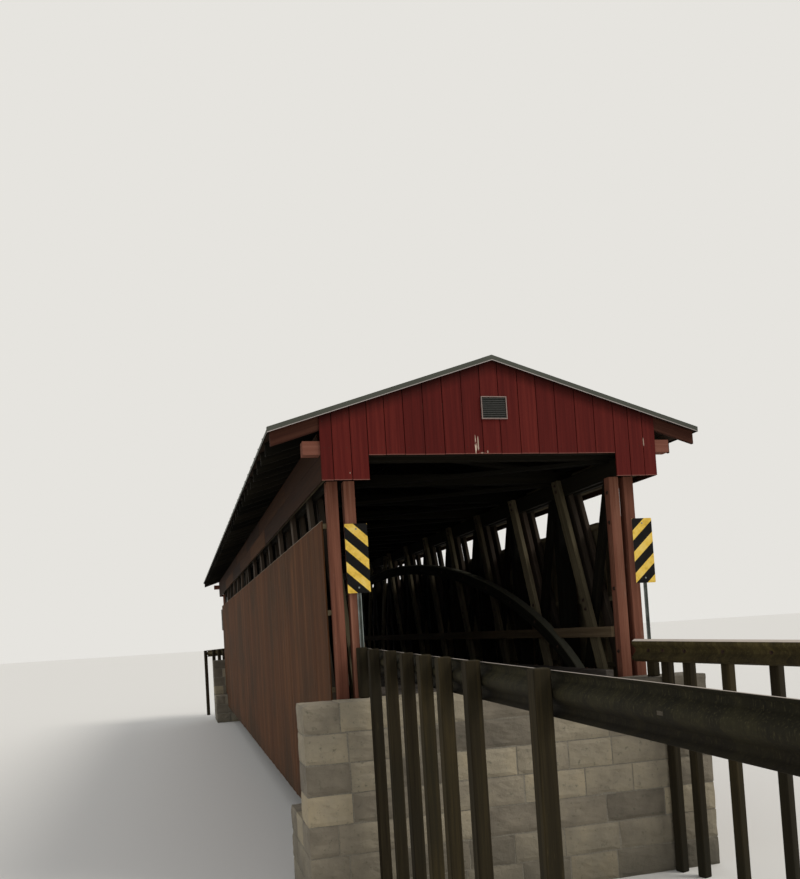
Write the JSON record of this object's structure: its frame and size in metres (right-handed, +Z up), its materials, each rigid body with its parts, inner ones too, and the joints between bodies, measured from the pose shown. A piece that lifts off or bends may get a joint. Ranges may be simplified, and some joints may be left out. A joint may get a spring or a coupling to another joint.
{
  "type": "covered bridge",
  "caption": "Single-span timber covered road bridge with plank trusses and laminated arches, board walls, a low metal roof, stone abutments and guard rails.",
  "frame": {"origin": "on the ground, midway between the trusses, under the front faces of the near portal posts, on the underside of the near abutment", "axes": "+X across the road to the right, +Y along the road from the near portal to the far portal, +Z up"},
  "size_m": [6.1862, 39.4024, 7.0248],
  "materials": {
    "stone": "cut stone, weathered",
    "timber": "weathered, unpainted",
    "new_timber": "sawn, dry",
    "deck_plank": "worn by traffic",
    "post_paint": "faded red paint",
    "tie_timber": "faded red paint",
    "wall_board": "faded red-brown stain",
    "gable_board": "dark red paint",
    "vent_slat": "faded grey-green enamel in a pale frame",
    "roof_board": "rough sawn",
    "roof_metal": "dull grey sheet",
    "rail_steel": "weathering steel, brown rust",
    "rail_post": "dark weathered timber",
    "marker_plate": "reflective yellow with black stripes",
    "marker_post": "galvanised"
  },
  "bodies": {
    "root": {"near_abutment": "stone", "far_abutment": "stone", "bed_timbers": "timber", "left_bottom_chord": "timber", "right_bottom_chord": "timber", "left_top_chord": "timber", "right_top_chord": "timber", "near_portal_posts": "post_paint", "far_portal_posts": "post_paint", "left_braces": "timber", "right_braces": "timber", "left_counter_braces": "timber", "right_counter_braces": "timber", "left_arch": "new_timber", "right_arch": "new_timber", "floor_beams": "timber", "stringers": "timber", "deck": "deck_plank", "curbs": "deck_plank", "rub_rails": "new_timber", "tie_beams": "tie_timber", "upper_laterals": "timber", "wall_plates": "timber", "rafters": "post_paint", "ridge_board": "timber", "left_roof_boards": "roof_board", "right_roof_boards": "roof_board", "left_roof_sheets": "roof_metal", "right_roof_sheets": "roof_metal", "ridge_cap": "roof_metal", "left_girts": "timber", "right_girts": "timber", "left_siding": "wall_board", "right_siding": "wall_board", "left_eave_boards": "wall_board", "right_eave_boards": "wall_board", "near_gable_boards": "gable_board", "far_gable_boards": "gable_board", "gable_vents": "vent_slat", "long_rail": "rail_steel", "flared_rails": "rail_steel", "near_rail_posts": "rail_post", "far_rail_posts": "rail_post", "markers": "marker_plate", "marker_posts": "marker_post"}
  },
  "joints": []
}
